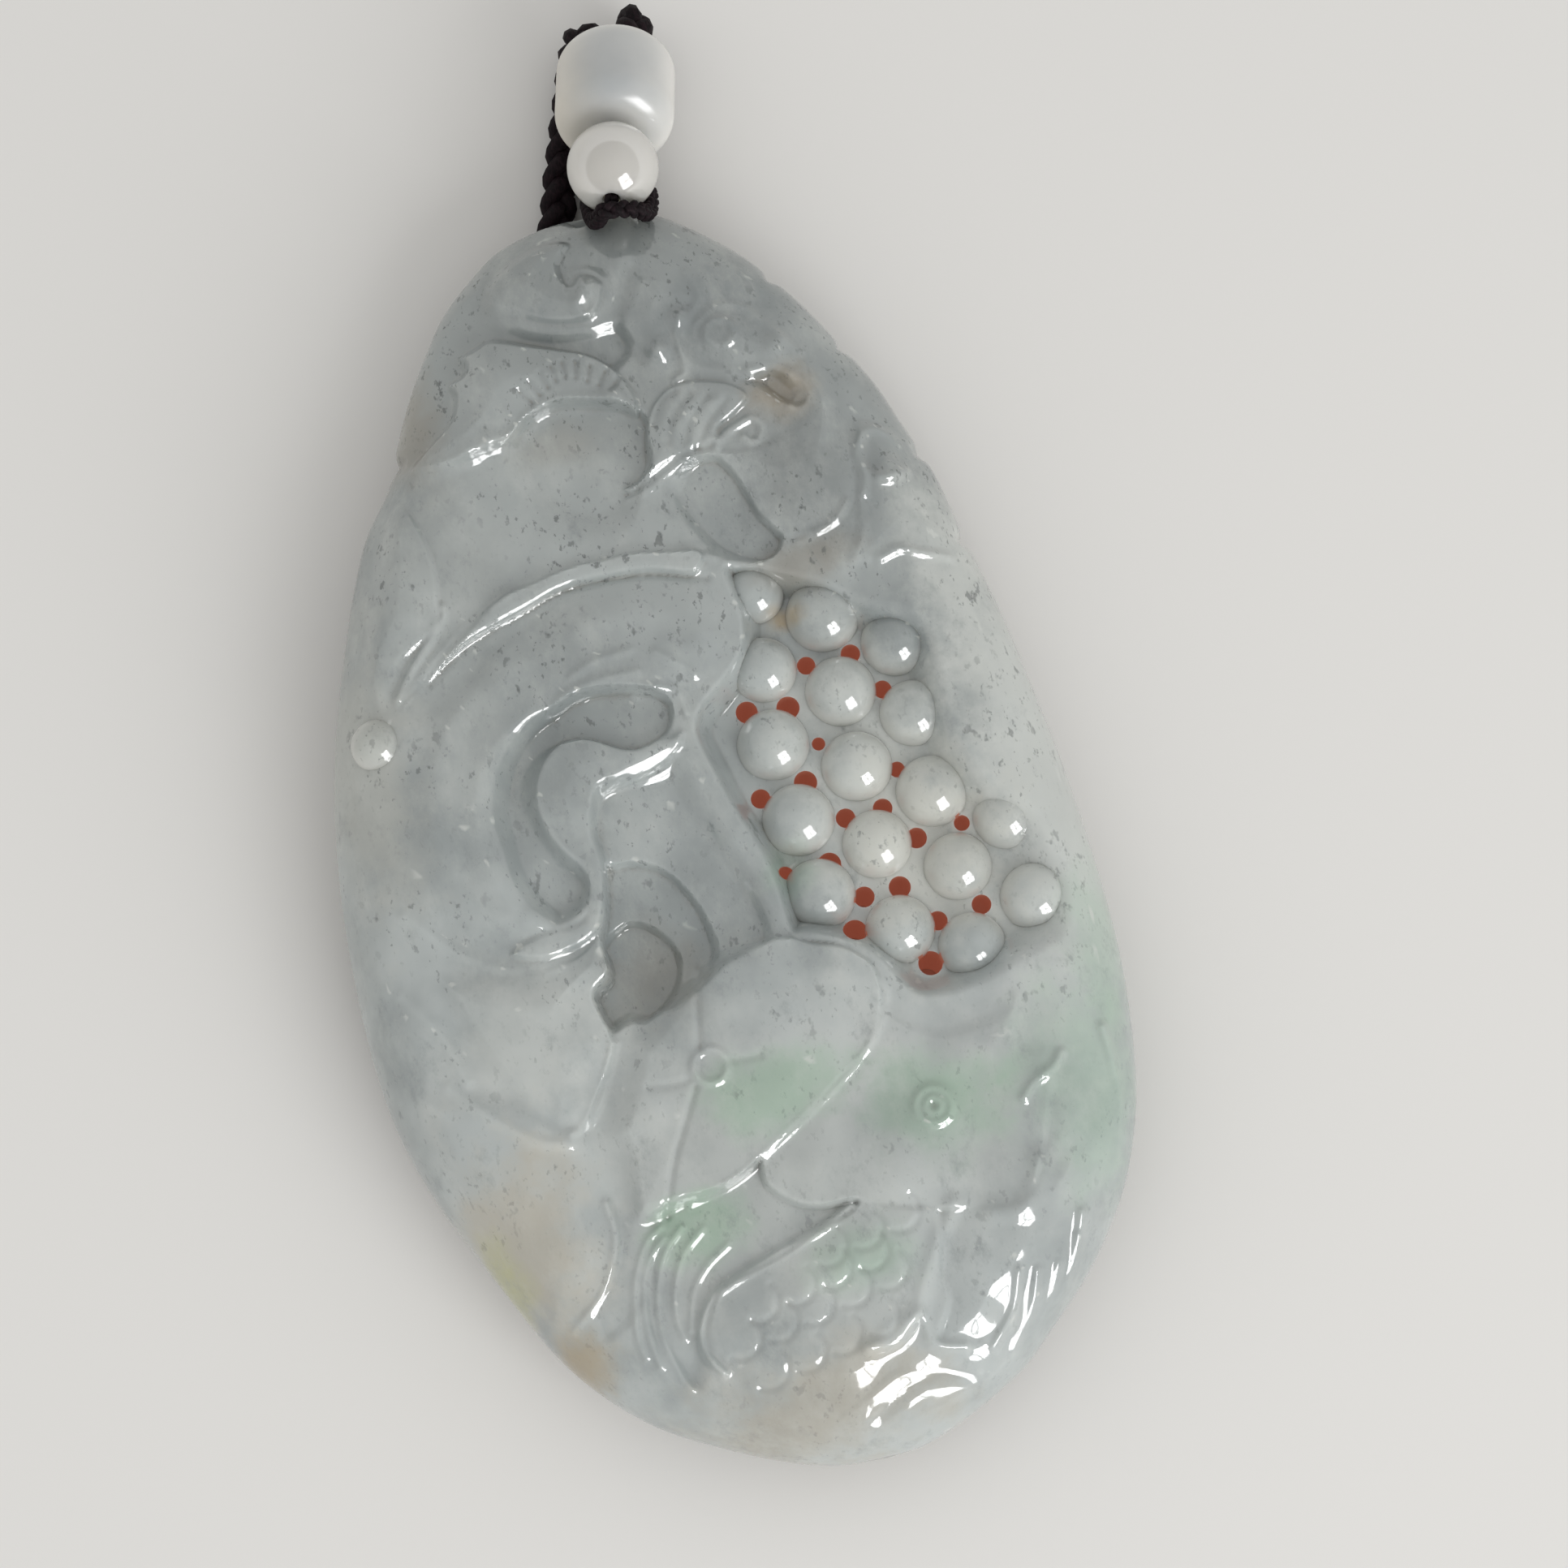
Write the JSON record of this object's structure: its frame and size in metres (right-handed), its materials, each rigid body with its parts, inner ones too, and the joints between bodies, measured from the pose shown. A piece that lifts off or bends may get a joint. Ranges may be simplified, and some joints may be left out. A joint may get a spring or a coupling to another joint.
{
  "type": "carved jade pendant",
  "caption": "Flat carved jade pendant with leaf and fish relief, a drilled ball lattice, a round bead, a barrel bead and a braided carrying cord.",
  "frame": {"origin": "middle of the pendant's flat back, on the surface that the pendant lies on", "axes": "+Z out of the carved face, +Y to the pendant's pointed top, +X to the right seen from the front"},
  "size_m": [0.0492, 0.0995, 0.0135],
  "materials": {
    "jade": "polished, cloudy and translucent",
    "white_jade": "polished, frosted white and translucent",
    "dark_cord": "braided thread"
  },
  "bodies": {
    "root": {"pendant": "jade", "round_bead": "white_jade", "barrel_bead": "white_jade", "bead_thread": "dark_cord", "hanging_loop": "dark_cord", "carrying_cord": "dark_cord"}
  },
  "joints": []
}
